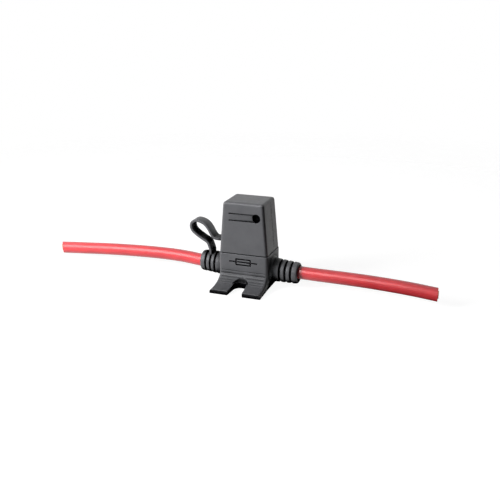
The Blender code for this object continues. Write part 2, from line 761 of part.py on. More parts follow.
def element_outline():
    """(x, z) points of the stamped strip: two blades joined near the top by a bowed link."""
    outer = BLADE_CENTRE + BLADE_WIDTH / 2
    inner = BLADE_CENTRE - BLADE_WIDTH / 2
    tip = FUSE_BOTTOM - BLADE_LENGTH
    top = FUSE_TOP - FUSE_TOP_SKIN - SEAT_GAP
    link_low = top - LINK_RISE - LINK_WIDTH

    def bow(height):
        points = []
        for step in range(LINK_STEPS + 1):
            share = step / LINK_STEPS
            points.append(
                (-inner + 2 * inner * share, height - LINK_RISE * math.sin(math.pi * share))
            )
        return points

    right = [
        (inner, tip + BLADE_TIP_CHAMFER),
        (inner + BLADE_TIP_CHAMFER, tip),
        (outer - BLADE_TIP_CHAMFER, tip),
        (outer, tip + BLADE_TIP_CHAMFER),
        (outer, top),
        (inner, top),
    ]
    left = [(-x, z) for x, z in reversed(right)]
    upper = list(reversed(bow(link_low + LINK_RISE + LINK_WIDTH)))
    lower = bow(link_low + LINK_RISE)
    return [*right, *upper, *left, *lower]


# Terminal carrier

def build_carrier(finish):
    bm = box_bmesh(
        (-CARRIER_HALF_X, -CARRIER_HALF_Y, CARRIER_BOTTOM),
        (CARRIER_HALF_X, CARRIER_HALF_Y, CARRIER_TOP),
    )
    round_edges(bm, upright, CARRIER_CORNER, SMALL_STEPS)
    carrier = object_from("terminal_carrier", bm, finish)
    seat_x = FUSE_WIDTH / 2 + SEAT_GAP
    seat_y = FUSE_THICKNESS / 2 + SEAT_GAP
    seat = box(
        "fuse_seat", (-seat_x, -seat_y, FUSE_SEAT), (seat_x, seat_y, CARRIER_TOP + SEAT_GAP)
    )
    cut(carrier, seat)
    slot_half_x = BLADE_WIDTH / 2 + 2 * BLADE_SIDE_GAP
    slot_half_y = BLADE_THICKNESS / 2 + 2 * SEAT_GAP
    pocket_half_x = SOCKET_HALF_X + SEAT_GAP
    pocket_half_y = SOCKET_HALF_Y + SEAT_GAP
    barrel_half_y = BARREL_RADIUS + SEAT_GAP
    below = CARRIER_BOTTOM - SEAT_GAP
    for name, side in (("left", -1), ("right", 1)):
        x = side * BLADE_CENTRE
        blade_slot = box(
            f"{name}_blade_slot", (x - slot_half_x, -slot_half_y, TERMINAL_TOP),
            (x + slot_half_x, slot_half_y, FUSE_SEAT + SEAT_GAP),
        )
        pocket = box(
            f"{name}_terminal_pocket", (x - pocket_half_x, -pocket_half_y, below),
            (x + pocket_half_x, pocket_half_y, TERMINAL_TOP + SEAT_GAP),
        )
        start, end = side * (BARREL_START - SEAT_GAP), side * BARREL_END
        barrel_way = box(
            f"{name}_barrel_way", (min(start, end), -barrel_half_y, below),
            (max(start, end), barrel_half_y, BOOT_AXIS_HEIGHT + barrel_half_y),
        )
        cut(carrier, blade_slot, pocket, barrel_way)
    return carrier


# Terminals and leads

def tube(name, start, end, bore, radius, side, finish=None):
    """A plain sleeve about the lead's axis."""
    obj = turned(
        name, [(bore, end), (radius, end), (radius, start), (bore, start), (bore, end)],
        TURN_STEPS, finish,
    )
    lay_along_x(obj, side)
    return obj


def build_terminal(name, side, finish):
    """A folded socket for the blade, with its wire barrel and insulation grip at a right angle."""
    x = side * BLADE_CENTRE
    terminal = box(
        f"terminal_{name}", (x - SOCKET_HALF_X, -SOCKET_HALF_Y, TERMINAL_BOTTOM),
        (x + SOCKET_HALF_X, SOCKET_HALF_Y, TERMINAL_TOP), finish,
    )
    join(
        terminal,
        tube(f"{name}_barrel", BARREL_START, BARREL_END, BARREL_BORE, BARREL_RADIUS, side),
        tube(f"{name}_grip", GRIP_START, GRIP_END, GRIP_BORE, GRIP_RADIUS, side),
        neck(f"{name}_neck", side),
    )
    bore_x, bore_y = SOCKET_HALF_X - TERMINAL_SHEET, SOCKET_HALF_Y - TERMINAL_SHEET
    bm = box_bmesh(
        (x - bore_x, -bore_y, TERMINAL_BOTTOM - SEAT_GAP),
        (x + bore_x, bore_y, TERMINAL_TOP + SEAT_GAP),
    )
    cut(terminal, object_from(f"{name}_socket_bore", bm))
    return terminal


def neck(name, side):
    """The folded strip that steps down from under the wire barrel to under the grip."""
    upper = BOOT_AXIS_HEIGHT - BARREL_RADIUS + TERMINAL_SHEET / 2
    lower = BOOT_AXIS_HEIGHT - GRIP_RADIUS + TERMINAL_SHEET / 2
    path = [
        (side * (BARREL_END - NECK_LENGTH / 2), 0.0, upper),
        (side * BARREL_END, 0.0, upper),
        (side * (CABLE_START - SEAT_GAP), 0.0, lower),
        (side * (GRIP_START + NECK_LENGTH / 2), 0.0, lower),
    ]
    return ribbon(name, path, NECK_WIDTH, TERMINAL_SHEET)


def build_conductor(name, side, finish):
    """The stripped end of the lead, inside the wire barrel."""
    start, end = BARREL_START + CONDUCTOR_TIP_GAP, CABLE_START - SEAT_GAP
    radius = CONDUCTOR_DIAMETER / 2
    soft = CONDUCTOR_TIP_ROUND
    obj = turned(
        f"conductor_{name}",
        [(0.0, end), (radius, end), (radius, start + soft), (radius - soft, start), (0.0, start)],
        TURN_STEPS, finish,
    )
    lay_along_x(obj, side)
    return obj


def build_cable(name, route_mm, side, finish):
    """The insulated lead, from its stripped end to its free end."""
    route = [(side * CABLE_START, 0.0, BOOT_AXIS_HEIGHT)]
    route += [(x * MM, y * MM, z * MM) for x, y, z in route_mm]
    points = smooth_path(route, 1)
    curve = bpy.data.curves.new(f"cable_{name}", "CURVE")
    curve.dimensions = "3D"
    curve.bevel_depth = CABLE_DIAMETER / 2
    curve.bevel_resolution = CABLE_SIDES
    curve.use_fill_caps = True
    spline = curve.splines.new("POLY")
    spline.points.add(len(points) - 1)
    for point, place in zip(spline.points, points):
        point.co = (*place, 1.0)
    curve.materials.append(finish)
    obj = bpy.data.objects.new(f"cable_{name}", curve)
    PARTS.objects.link(obj)
    return obj


BLACK_RUBBER = (0.055, 0.056, 0.060)
build_base(material("base_rubber", BLACK_RUBBER, 0.55))
build_cap(material("cap_rubber", BLACK_RUBBER, 0.5))
ribbon(
    "tether_strap", strap_path(), STRAP_WIDTH, STRAP_THICKNESS,
    material("strap_rubber", BLACK_RUBBER, 0.55),
)
build_carrier(material("carrier_nylon", (0.03, 0.03, 0.032), 0.45))
build_fuse(
    material("fuse_blue", (0.02, 0.12, 0.55), 0.25, transmission=0.5),
    material("fuse_zinc", (0.55, 0.56, 0.58), 0.35, metallic=1.0),
)
brass = material("tinned_brass", (0.62, 0.60, 0.55), 0.35, metallic=1.0)
copper = material("bare_copper", (0.72, 0.32, 0.16), 0.4, metallic=1.0)
red = material("red_insulation", (0.75, 0.03, 0.03), 0.3)
for side_name, side_sign, cable_route in (
    ("left", -1, CABLE_LEFT_ROUTE_MM), ("right", 1, CABLE_RIGHT_ROUTE_MM),
):
    build_terminal(side_name, side_sign, brass)
    build_conductor(side_name, side_sign, copper)
    build_cable(side_name, cable_route, side_sign, red)
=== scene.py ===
import json
import math

import bmesh
import bpy
from mathutils import Matrix, Vector

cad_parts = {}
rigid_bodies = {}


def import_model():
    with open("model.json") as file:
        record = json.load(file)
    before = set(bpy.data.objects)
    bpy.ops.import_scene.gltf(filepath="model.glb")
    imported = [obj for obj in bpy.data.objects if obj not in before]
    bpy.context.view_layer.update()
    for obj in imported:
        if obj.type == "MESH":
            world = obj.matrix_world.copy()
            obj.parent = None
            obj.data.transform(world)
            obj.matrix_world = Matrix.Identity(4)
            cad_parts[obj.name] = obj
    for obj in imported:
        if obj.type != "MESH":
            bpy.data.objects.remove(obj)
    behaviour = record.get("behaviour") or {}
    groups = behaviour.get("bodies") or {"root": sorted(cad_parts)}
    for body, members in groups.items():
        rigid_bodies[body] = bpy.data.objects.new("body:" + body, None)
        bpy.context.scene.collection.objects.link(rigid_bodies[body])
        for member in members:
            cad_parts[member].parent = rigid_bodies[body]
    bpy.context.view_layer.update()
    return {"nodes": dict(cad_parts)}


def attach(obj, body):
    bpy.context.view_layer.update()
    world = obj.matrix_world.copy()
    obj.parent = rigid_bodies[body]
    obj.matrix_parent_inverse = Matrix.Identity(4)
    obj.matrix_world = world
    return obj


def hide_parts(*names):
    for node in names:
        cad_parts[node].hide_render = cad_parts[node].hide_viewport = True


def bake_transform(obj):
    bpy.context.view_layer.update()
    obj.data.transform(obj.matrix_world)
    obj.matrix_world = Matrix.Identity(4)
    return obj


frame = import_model()
nodes = frame["nodes"]
print("frame loaded")


# camera: fitted to the corners of the cap and the feet in the photograph
cameraSet = {
    "azimuth": 20.6,
    "elevation": 19.4,
    "roll": -0.45,
    "focalPixels": 648.0,
    "target": (0.00038, 0.0, 0.02445),
    "distance": 0.4778,
    "pictureWidth": 500,
    "sensorWidth": 36.0,
}


def setCamera(values):
    azimuth = math.radians(values["azimuth"])
    elevation = math.radians(values["elevation"])
    roll = math.radians(values["roll"])
    back = Vector((
        math.sin(azimuth) * math.cos(elevation),
        -math.cos(azimuth) * math.cos(elevation),
        math.sin(elevation),
    ))
    side = Vector((math.cos(azimuth), math.sin(azimuth), 0.0))
    top = back.cross(side)
    turnedSide = math.cos(roll) * side + math.sin(roll) * top
    turnedTop = math.cos(roll) * top - math.sin(roll) * side
    bpy.ops.object.camera_add()
    camera = bpy.context.object
    camera.name = "photoCamera"
    place = Matrix((turnedSide, turnedTop, back)).transposed().to_4x4()
    place.translation = Vector(values["target"]) + back * values["distance"]
    camera.matrix_world = place
    camera.data.sensor_width = values["sensorWidth"]
    camera.data.lens = values["focalPixels"] * values["sensorWidth"] / values["pictureWidth"]
    camera.data.clip_start = 0.01
    bpy.context.scene.camera = camera


setCamera(cameraSet)
print("camera set")


# small helpers for modelling by operators
mergeWithin = 0.000002


def deselectAll():
    if bpy.context.mode != "OBJECT":
        bpy.ops.object.mode_set(mode="OBJECT")
    for obj in bpy.context.view_layer.objects:
        obj.select_set(False)


def makeActive(obj):
    deselectAll()
    obj.select_set(True)
    bpy.context.view_layer.objects.active = obj


def settle(obj, name):
    # the piece's place goes into its mesh, and the object ends at the origin
    makeActive(obj)
    obj.name = name
    obj.data.name = name
    bpy.ops.object.transform_apply(location=True, rotation=True, scale=True)
    return obj


def addAndApply(obj, kind, **settings):
    makeActive(obj)
    modifier = obj.modifiers.new(kind.lower(), kind)
    for key, value in settings.items():
        setattr(modifier, key, value)
    bpy.ops.object.modifier_apply(modifier=modifier.name)


def pick(obj, kind, test):
    # edit mode with only the wanted faces or edges selected
    makeActive(obj)
    bpy.ops.object.mode_set(mode="EDIT")
    bpy.ops.mesh.select_mode(type=kind)
    bpy.ops.mesh.select_all(action="DESELECT")
    bm = bmesh.from_edit_mesh(obj.data)
    for part in bm.faces if kind == "FACE" else bm.edges:
        part.select_set(bool(test(part)))
    bm.select_flush_mode()
    bmesh.update_edit_mesh(obj.data)


def copyOfNode(nodeName, newName):
    # a merged copy of a CAD node's mesh, as the start of a finer piece
    mesh = nodes[nodeName].data.copy()
    mesh.materials.clear()
    copy = bpy.data.objects.new(newName, mesh)
    mesh.name = newName
    bpy.context.scene.collection.objects.link(copy)
    makeActive(copy)
    bpy.ops.object.mode_set(mode="EDIT")
    bpy.ops.mesh.select_all(action="SELECT")
    bpy.ops.mesh.remove_doubles(threshold=mergeWithin)
    bpy.ops.object.mode_set(mode="OBJECT")
    for attribute in ("custom_normal", "sharp_edge", "sharp_face"):
        if attribute in mesh.attributes:
            mesh.attributes.remove(mesh.attributes[attribute])
    return copy


def mould(obj, values):
    # soft moulded edges: an even skin of small faces, eased, then thinned where it is flat
    voxel = values["voxel"] * 1.0
    addAndApply(obj, "REMESH", mode="VOXEL", voxel_size=voxel, use_smooth_shade=True)
    addAndApply(obj, "SMOOTH", factor=0.5, iterations=values["easing"])
    addAndApply(obj, "DECIMATE", ratio=values["keep"])
    makeActive(obj)
    bpy.ops.object.shade_smooth()


def cutWith(obj, cutter):
    addAndApply(obj, "BOOLEAN", operation="DIFFERENCE", solver="EXACT", object=cutter)
    bpy.data.objects.remove(cutter, do_unlink=True)


# materials
grainDepth = 0.0001


def newMaterial(name):
    material = bpy.data.materials.new(name)
    material.use_nodes = True
    tree = material.node_tree
    return material, tree, tree.nodes["Principled BSDF"]


def addNode(tree, kind, **settings):
    node = tree.nodes.new(kind)
    for key, value in settings.items():
        if key in node.inputs:
            node.inputs[key].default_value = value
        else:
            setattr(node, key, value)
    return node


def noiseOn(tree, scale, detail=4.0, roughness=0.6):
    place = tree.nodes.get("Texture Coordinate") or addNode(tree, "ShaderNodeTexCoord")
    noise = addNode(tree, "ShaderNodeTexNoise")
    noise.inputs["Scale"].default_value = scale
    noise.inputs["Detail"].default_value = detail
    noise.inputs["Roughness"].default_value = roughness
    tree.links.new(place.outputs["Object"], noise.inputs["Vector"])
    return noise


def rampOf(tree, source, stops):
    ramp = addNode(tree, "ShaderNodeValToRGB")
    elements = ramp.color_ramp.elements
    while len(elements) < len(stops):
        elements.new(0.5)
    for element, (position, colour) in zip(elements, stops):
        element.position = position
        element.color = (*colour, 1.0)
    tree.links.new(source, ramp.inputs["Fac"])
    return ramp


def rangeOf(tree, source, low, high, newLow, newHigh):
    change = addNode(tree, "ShaderNodeMapRange")
    change.inputs["From Min"].default_value = low
    change.inputs["From Max"].default_value = high
    change.inputs["To Min"].default_value = newLow
    change.inputs["To Max"].default_value = newHigh
    tree.links.new(source, change.inputs["Value"])
    return change


def bumpFrom(tree, shader, sources):
    # several height patterns, each (socket, strength, distance), one after another
    before = None
    for socket, strength, distance in sources:
        bump = addNode(tree, "ShaderNodeBump")
        bump.inputs["Strength"].default_value = strength
        bump.inputs["Distance"].default_value = distance
        tree.links.new(socket, bump.inputs["Height"])
        if before:
            tree.links.new(before.outputs["Normal"], bump.inputs["Normal"])
        before = bump
    tree.links.new(before.outputs["Normal"], shader.inputs["Normal"])


def rubberMaterial(name, values):
    # dark moulded rubber: cloudy, finely grained, lighter on worn edges, with painted shade that
    # makes corners, creases and recesses darker and dull
    material, tree, shader = newMaterial(name)
    cloud = noiseOn(tree, values["cloudScale"], 5.0)
    grain = noiseOn(tree, values["grainScale"], 2.0)
    speck = noiseOn(tree, values["speckScale"], 6.0, 0.7)
    shade = rampOf(tree, cloud.outputs["Fac"], [(0.3, values["dark"]), (0.7, values["light"])])
    edge = addNode(tree, "ShaderNodeNewGeometry")
    worn = rangeOf(
        tree, edge.outputs["Pointiness"], values["wornFrom"], values["wornTo"],
        0.0, values["edgeWear"],
    )
    lighter = addNode(tree, "ShaderNodeMix", data_type="RGBA")
    tree.links.new(worn.outputs["Result"], lighter.inputs["Factor"])
    tree.links.new(shade.outputs["Color"], lighter.inputs["A"])
    lighter.inputs["B"].default_value = (*values["edge"], 1.0)
    # painted shade: ambient occlusion picks out corners, creases and recesses, where the colour
    # goes near black
    corners = addNode(tree, "ShaderNodeAmbientOcclusion", samples=8)
    corners.inputs["Distance"].default_value = values["cornerReach"]
    unshadedShare = rangeOf(
        tree, corners.outputs["AO"], values["cornerFrom"], values["cornerTo"], 0.0, 1.0
    )
    paintedShadeMix = addNode(tree, "ShaderNodeMix", data_type="RGBA")
    tree.links.new(unshadedShare.outputs["Result"], paintedShadeMix.inputs["Factor"])
    paintedShadeMix.inputs["A"].default_value = (*values["corner"], 1.0)
    tree.links.new(lighter.outputs["Result"], paintedShadeMix.inputs["B"])
    tree.links.new(paintedShadeMix.outputs["Result"], shader.inputs["Base Color"])
    # the same painted shade also takes the gloss away in corners and recesses
    glossDimmedInShade = addNode(tree, "ShaderNodeMath", operation="MULTIPLY")
    tree.links.new(unshadedShare.outputs["Result"], glossDimmedInShade.inputs[0])
    glossDimmedInShade.inputs[1].default_value = values["specular"]
    tree.links.new(glossDimmedInShade.outputs[0], shader.inputs["Specular IOR Level"])
    dull = rangeOf(tree, speck.outputs["Fac"], 0.3, 0.7, values["glossiest"], values["dullest"])
    tree.links.new(dull.outputs["Result"], shader.inputs["Roughness"])
    bumpFrom(tree, shader, [
        (grain.outputs["Fac"], values["grainStrength"], grainDepth),
        (cloud.outputs["Fac"], values["waveStrength"], values["waveDepth"]),
    ])
    return material


def plasticMaterial(name, values):
    material, tree, shader = newMaterial(name)
    cloud = noiseOn(tree, values["cloudScale"], 3.0)
    grain = noiseOn(tree, values["grainScale"], 2.0)
    shade = rampOf(tree, cloud.outputs["Fac"], [(0.35, values["dark"]), (0.65, values["light"])])
    tree.links.new(shade.outputs["Color"], shader.inputs["Base Color"])
    dull = rangeOf(tree, cloud.outputs["Fac"], 0.3, 0.7, values["glossiest"], values["dullest"])
    tree.links.new(dull.outputs["Result"], shader.inputs["Roughness"])
    shader.inputs["Metallic"].default_value = values.get("metallic", 0.0)
    shader.inputs["Transmission Weight"].default_value = values.get("clear", 0.0)
    shader.inputs["Coat Weight"].default_value = values.get("coat", 0.0)
    shader.inputs["Coat Roughness"].default_value = values.get("coatRoughness", 0.1)
    shader.inputs["Subsurface Weight"].default_value = values.get("inside", 0.0)
    shader.inputs["Subsurface Scale"].default_value = values.get("insideReach", 0.0)
    bumpFrom(tree, shader, [(grain.outputs["Fac"], values["grainStrength"], grainDepth)])
    return material


finishes = {
    "rubber": {
        "dark": (0.075, 0.076, 0.082), "light": (0.098, 0.099, 0.106),
        "edge": (0.16, 0.16, 0.17), "edgeWear": 0.2, "wornFrom": 0.5, "wornTo": 0.56,
        "cloudScale": 90.0, "grainScale": 2600.0, "speckScale": 420.0,
        "glossiest": 0.38, "dullest": 0.52, "specular": 0.5,
        "grainStrength": 0.2, "waveStrength": 0.08, "waveDepth": 0.0006,
        # painted shade for corners, creases and recesses: its near black colour, reach and range
        "corner": (0.0015, 0.0015, 0.002), "cornerReach": 0.011, "cornerFrom": 0.68,
        "cornerTo": 0.94,  # creases get no painted shade from here on
    },
    "insulation": {
        "dark": (0.62, 0.042, 0.052), "light": (0.69, 0.056, 0.066),
        "cloudScale": 60.0, "grainScale": 900.0, "glossiest": 0.34, "dullest": 0.46,
        "grainStrength": 0.03, "coat": 0.4, "coatRoughness": 0.2,
        "inside": 0.35, "insideReach": 0.004,
    },
    "nylon": {
        "dark": (0.018, 0.018, 0.02), "light": (0.032, 0.032, 0.035),
        "cloudScale": 150.0, "grainScale": 2400.0, "glossiest": 0.36, "dullest": 0.5,
        "grainStrength": 0.15,
    },
    "fuseBlue": {
        "dark": (0.015, 0.13, 0.62), "light": (0.02, 0.16, 0.70),
        "cloudScale": 120.0, "grainScale": 1500.0, "glossiest": 0.12, "dullest": 0.2,
        "grainStrength": 0.04, "clear": 0.55, "coat": 0.3,
    },
    "zinc": {
        "dark": (0.50, 0.51, 0.53), "light": (0.62, 0.63, 0.65),
        "cloudScale": 300.0, "grainScale": 1800.0, "glossiest": 0.25, "dullest": 0.42,
        "grainStrength": 0.1, "metallic": 1.0,
    },
    "tinnedBrass": {
        "dark": (0.55, 0.52, 0.44), "light": (0.70, 0.67, 0.58),
        "cloudScale": 300.0, "grainScale": 1800.0, "glossiest": 0.25, "dullest": 0.42,
        "grainStrength": 0.1, "metallic": 1.0,
    },
    "copper": {
        "dark": (0.62, 0.22, 0.10), "light": (0.83, 0.38, 0.20),
        "cloudScale": 500.0, "grainScale": 2600.0, "glossiest": 0.25, "dullest": 0.4,
        "grainStrength": 0.08, "metallic": 1.0,
    },
}

blackRubber = rubberMaterial("blackRubber", finishes["rubber"])
redInsulation = plasticMaterial("redInsulation", finishes["insulation"])
carrierNylon = plasticMaterial("carrierNylon", finishes["nylon"])
fuseBlue = plasticMaterial("fuseBlue", finishes["fuseBlue"])
stampedZinc = plasticMaterial("stampedZinc", finishes["zinc"])
tinnedBrass = plasticMaterial("tinnedBrass", finishes["tinnedBrass"])
bareCopper = plasticMaterial("bareCopper", finishes["copper"])


def dress(obj, material):
    obj.data.materials.clear()
    obj.data.materials.append(material)


def dressNode(nodeName, material):
    for index in range(len(nodes[nodeName].material_slots)):
        nodes[nodeName].material_slots[index].material = material


for nodeName, material in (
    ("terminal_left", tinnedBrass), ("terminal_right", tinnedBrass),
    ("conductor_left", bareCopper), ("conductor_right", bareCopper),
    ("fuse_element", stampedZinc), ("terminal_carrier", carrierNylon),
    ("fuse_housing", fuseBlue),
):
    dressNode(nodeName, material)
print("materials made")


# leads: routes repeated from the CAD, in metres, and the cuts at the photograph's edges
leads = {
    "diameter": 0.0095,
    "right": {
        "route": [
            (0.02295, 0.0, 0.0118), (0.028, 0.0, 0.0118), (0.034, 0.0, 0.0118),
            (0.04, -0.0001, 0.0117), (0.05, -0.0003, 0.0116), (0.062, -0.0005, 0.01165),
            (0.075, -0.0007, 0.01165), (0.087, -0.001, 0.0116), (0.098, -0.0014, 0.0114),
            (0.109, -0.0019, 0.0111), (0.12, -0.0024, 0.0106), (0.1285, -0.0028, 0.01),
            (0.1361, -0.0031, 0.0094),
        ],
        "exit": (0.0377, 0.0, 0.0118),
        "cutFacing": (0.9987, 0.051, 0.0),
    },
    "left": {
        "route": [
            (-0.02295, 0.0, 0.0118), (-0.028, 0.0, 0.0118), (-0.034, 0.00005, 0.0118),
            (-0.04, 0.0006, 0.01185), (-0.048, 0.0019, 0.012), (-0.057, 0.0032, 0.01205),
            (-0.068, 0.0043, 0.01185), (-0.082, 0.0049, 0.01145), (-0.098, 0.0051, 0.0108),
            (-0.114, 0.0051, 0.00995), (-0.13, 0.0051, 0.0089), (-0.146, 0.0051, 0.0076),
            (-0.158, 0.0051, 0.00665), (-0.1695, 0.0051, 0.00565),
        ],
        "exit": (-0.0377, 0.0, 0.0118),
        "cutFacing": (-0.795, -0.607, 0.0),
    },
    "overrun": 0.008,
    "strandRings": 3,
    "strandPitch": 0.00078,
    "strandSides": 10,
    "strandFill": 0.98,  # of the pitch
    "strandEdge": 0.12,  # of the pitch
    "strandTwist": 0.4,
    "strandStandOut": 0.0004,
    "strandUneven": 0.3,
    "routeSteps": 3,
    "roundSides": 7,
}


def smoothRoute(route, steps):
    points = [Vector(p) for p in route]
    knots = [2 * points[0] - points[1], *points, 2 * points[-1] - points[-2]]
    result = []
    for a, b, c, d in zip(knots, knots[1:], knots[2:], knots[3:]):
        for step in range(steps):
            t = step / steps
            result.append(
                b + (c - a) * (t / 2) + (2 * a - 5 * b + 4 * c - d) * (t * t / 2)
                + (3 * b - a - 3 * c + d) * (t ** 3 / 2)
            )
    return [*result, points[-1]]


def tubeAlong(name, points, radius, sides):
    # a curve through the points, beveled round and made a mesh
    curve = bpy.data.curves.new(name, "CURVE")
    curve.dimensions = "3D"
    curve.bevel_depth = radius
    curve.bevel_resolution = sides
    curve.use_fill_caps = True
    spline = curve.splines.new("POLY")
    spline.points.add(len(points) - 1)
    for point, place in zip(spline.points, points):
        point.co = (*place, 1.0)
    obj = bpy.data.objects.new(name, curve)
    bpy.context.scene.collection.objects.link(obj)
    makeActive(obj)
    bpy.ops.object.convert(target="MESH")
    return bpy.context.object


def cutOff(obj, place, facing):
    # everything beyond a plane goes, and the cut is closed
    makeActive(obj)
    bpy.ops.object.mode_set(mode="EDIT")
    bpy.ops.mesh.select_all(action="SELECT")
    bpy.ops.mesh.bisect(plane_co=place, plane_no=facing, use_fill=True, clear_outer=True)
    bpy.ops.object.mode_set(mode="OBJECT")


def strandBundle(name, end, along, facing, values):
    # the cut copper: one strand is modelled, then copied on rings round the middle one
    pitch = values["strandPitch"]
    length = 2 * values["overrun"]
    deselectAll()
    bpy.ops.mesh.primitive_cylinder_add(
        vertices=values["strandSides"], radius=pitch * values["strandFill"] / 2, depth=length
    )
    strand = bpy.context.object
    turn = along.to_track_quat("Z", "Y").to_matrix().to_4x4()
    places = [(0.0, 0.0)]
    for ring in range(1, values["strandRings"] + 1):
        for step in range(6 * ring):
            angle = math.tau * step / (6 * ring) + ring * values["strandTwist"]
            places.append((ring * pitch * math.cos(angle), ring * pitch * math.sin(angle)))
    copies = []
    for number, (x, y) in enumerate(places):
        copy = bpy.data.objects.new(f"{name}{number}", strand.data.copy())
        bpy.context.scene.collection.objects.link(copy)
        copy.matrix_world = Matrix.Translation(end) @ turn @ Matrix.Translation((x, y, 0.0))
        settle(copy, copy.name)
        uneven = values["strandUneven"] * math.sin(number * 2.4)
        standOut = values["strandStandOut"] * (1 + uneven)
        cutOff(copy, end + facing * standOut, facing)
        copies.append(copy)
    bpy.data.objects.remove(strand, do_unlink=True)
    deselectAll()
    for copy in copies:
        copy.select_set(True)
    bpy.context.view_layer.objects.active = copies[0]
    bpy.ops.object.join()
    bundle = settle(bpy.context.object, name)
    edge = pitch * values["strandEdge"]
    addAndApply(bundle, "BEVEL", width=edge, segments=2, limit_method="ANGLE")
    makeActive(bundle)
    bpy.ops.object.shade_smooth_by_angle(angle=math.radians(40))
    return bundle


for sideName in ("left", "right"):
    values = leads[sideName]
    points = smoothRoute(values["route"], leads["routeSteps"])
    along = (points[-1] - points[-2]).normalized()
    facing = Vector(values["cutFacing"]).normalized()
    longer = [*points, points[-1] + along * leads["overrun"]]
    lead = tubeAlong(
        f"lead{sideName.capitalize()}", longer, leads["diameter"] / 2, leads["roundSides"]
    )
    cutOff(lead, points[-1], facing)
    makeActive(lead)
    bpy.ops.object.shade_smooth_by_angle(angle=math.radians(50))
    dress(lead, redInsulation)
    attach(lead, "base")
    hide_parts(f"cable_{sideName}")
    strands = strandBundle(
        f"strands{sideName.capitalize()}", points[-1], along, facing, leads
    )
    dress(strands, bareCopper)
    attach(strands, "base")
print("leads made")


# base moulding, from the CAD node, with the engraved sign for a fuse on its front
baseSet = {
    "voxel": 0.0002,
    "easing": 3,
    "keep": 0.24,
    "signCentre": (0.0002, -0.0139, 0.0194),
    "signLength": 0.0215,
    "signBox": (0.0118, 0.0052),
    "signStroke": 0.0009,
    "signDepth": 0.0009,
    "bootEndFrom": 0.0358,
    "bootBend": {-1: (0.0, 0.0006, 0.0004), 1: (0.0011, -0.0007, -0.0004)},
    "bootBendReach": 0.0175,
}


def signCutters(values):
    # a long box with a line through it
    x, y, z = values["signCentre"]
    wide, high = values["signBox"]
    stroke = values["signStroke"]
    bars = [
        (x, z + (high - stroke) / 2, wide, stroke),
        (x, z - (high - stroke) / 2, wide, stroke),
        (x - (wide - stroke) / 2, z, stroke, high),
        (x + (wide - stroke) / 2, z, stroke, high),
        (x, z, values["signLength"], stroke),
    ]
    cutters = []
    for middleX, middleZ, sizeX, sizeZ in bars:
        deselectAll()
        bpy.ops.mesh.primitive_cube_add(size=1.0, location=(middleX, y, middleZ))
        bar = bpy.context.object
        bar.scale = (sizeX, 2 * values["signDepth"], sizeZ)
        cutters.append(settle(bar, "signBar"))
    return cutters


def bendBoots(base, values):
    # the soft boots follow their leads a little: the ends are moved and the rest eases after
    for side, shift in values["bootBend"].items():
        pick(base, "FACE", lambda f: side * f.calc_center_median().x > values["bootEndFrom"])
        bpy.ops.transform.translate(
            value=shift, use_proportional_edit=True, proportional_edit_falloff="SMOOTH",
            proportional_size=values["bootBendReach"],
        )
        bpy.ops.object.mode_set(mode="OBJECT")


def makeBase(values):
    base = copyOfNode("base_body", "baseMoulding")
    bendBoots(base, values)
    for cutter in signCutters(values):
        cutWith(base, cutter)
    mould(base, values)
    dress(base, blackRubber)
    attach(base, "base")
    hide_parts("base_body")


makeBase(baseSet)
print("base made")


# cap, from the CAD node
capSet = {
    "voxel": 0.00021,
    "easing": 3,
    "keep": 0.25,
    "channelStep": 0.00019,
    "startWithin": 0.00005,
    "channelDepths": (-0.013, -0.012),
    "channelHeights": (0.05, 0.056),
    "lineFrom": -0.0108,
    "lineTo": 0.0085,
    "lines": ((0.0551, 0.0009), (0.05015, 0.0007)),
    "lineDepth": 0.0013,
    "frontAt": -0.0131,
    "partingAt": (0.0168, 0.0025, 0.0446),
    "partingSize": (0.0006, 0.0004, 0.034),
    "partingLean": -4.69,
}


def capCutters(values):
    # the channel's two dark edges, each deeper towards the pocket, and the mould's parting line
    cutters = []
    length = values["lineTo"] - values["lineFrom"]
    for height, width in values["lines"]:
        deselectAll()
        bpy.ops.mesh.primitive_cube_add(
            size=1.0, location=(values["lineFrom"] + length / 2, values["frontAt"], height)
        )
        line = bpy.context.object
        line.scale = (length, 2 * values["lineDepth"], width)
        settle(line, "channelLine")
        start, surface = values["lineFrom"], values["frontAt"]
        pick(line, "EDGE", lambda e: all(
            v.co.x < start + 0.001 and v.co.y > surface for v in e.verts
        ))
        bpy.ops.transform.translate(value=(0.0, -values["lineDepth"] / 2, 0.0))
        bpy.ops.object.mode_set(mode="OBJECT")
        cutters.append(line)
    deselectAll()
    bpy.ops.mesh.primitive_cube_add(size=1.0, location=values["partingAt"])
    parting = bpy.context.object
    parting.scale = values["partingSize"]
    parting.rotation_euler = (0.0, math.radians(values["partingLean"]), 0.0)
    cutters.append(settle(parting, "partingLine"))
    return cutters


def makeCap(values):
    cap = copyOfNode("cap", "capShell")
    # the channel's floor comes out to the face at its left end, so that it starts from nothing
    start, near = values["lineFrom"], values["startWithin"]
    (floorFrom, floorTo), (lowest, highest) = values["channelDepths"], values["channelHeights"]
    pick(cap, "EDGE", lambda e: all(
        abs(v.co.x - start) < near and floorFrom < v.co.y < floorTo and lowest < v.co.z < highest
        for v in e.verts
    ))
    bpy.ops.transform.translate(value=(0.0, -values["channelStep"], 0.0))
    bpy.ops.object.mode_set(mode="OBJECT")
    for cutter in capCutters(values):
        cutWith(cap, cutter)
    mould(cap, values)
    dress(cap, blackRubber)
    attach(cap, "cap")
    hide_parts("cap")


makeCap(capSet)
print("cap made")


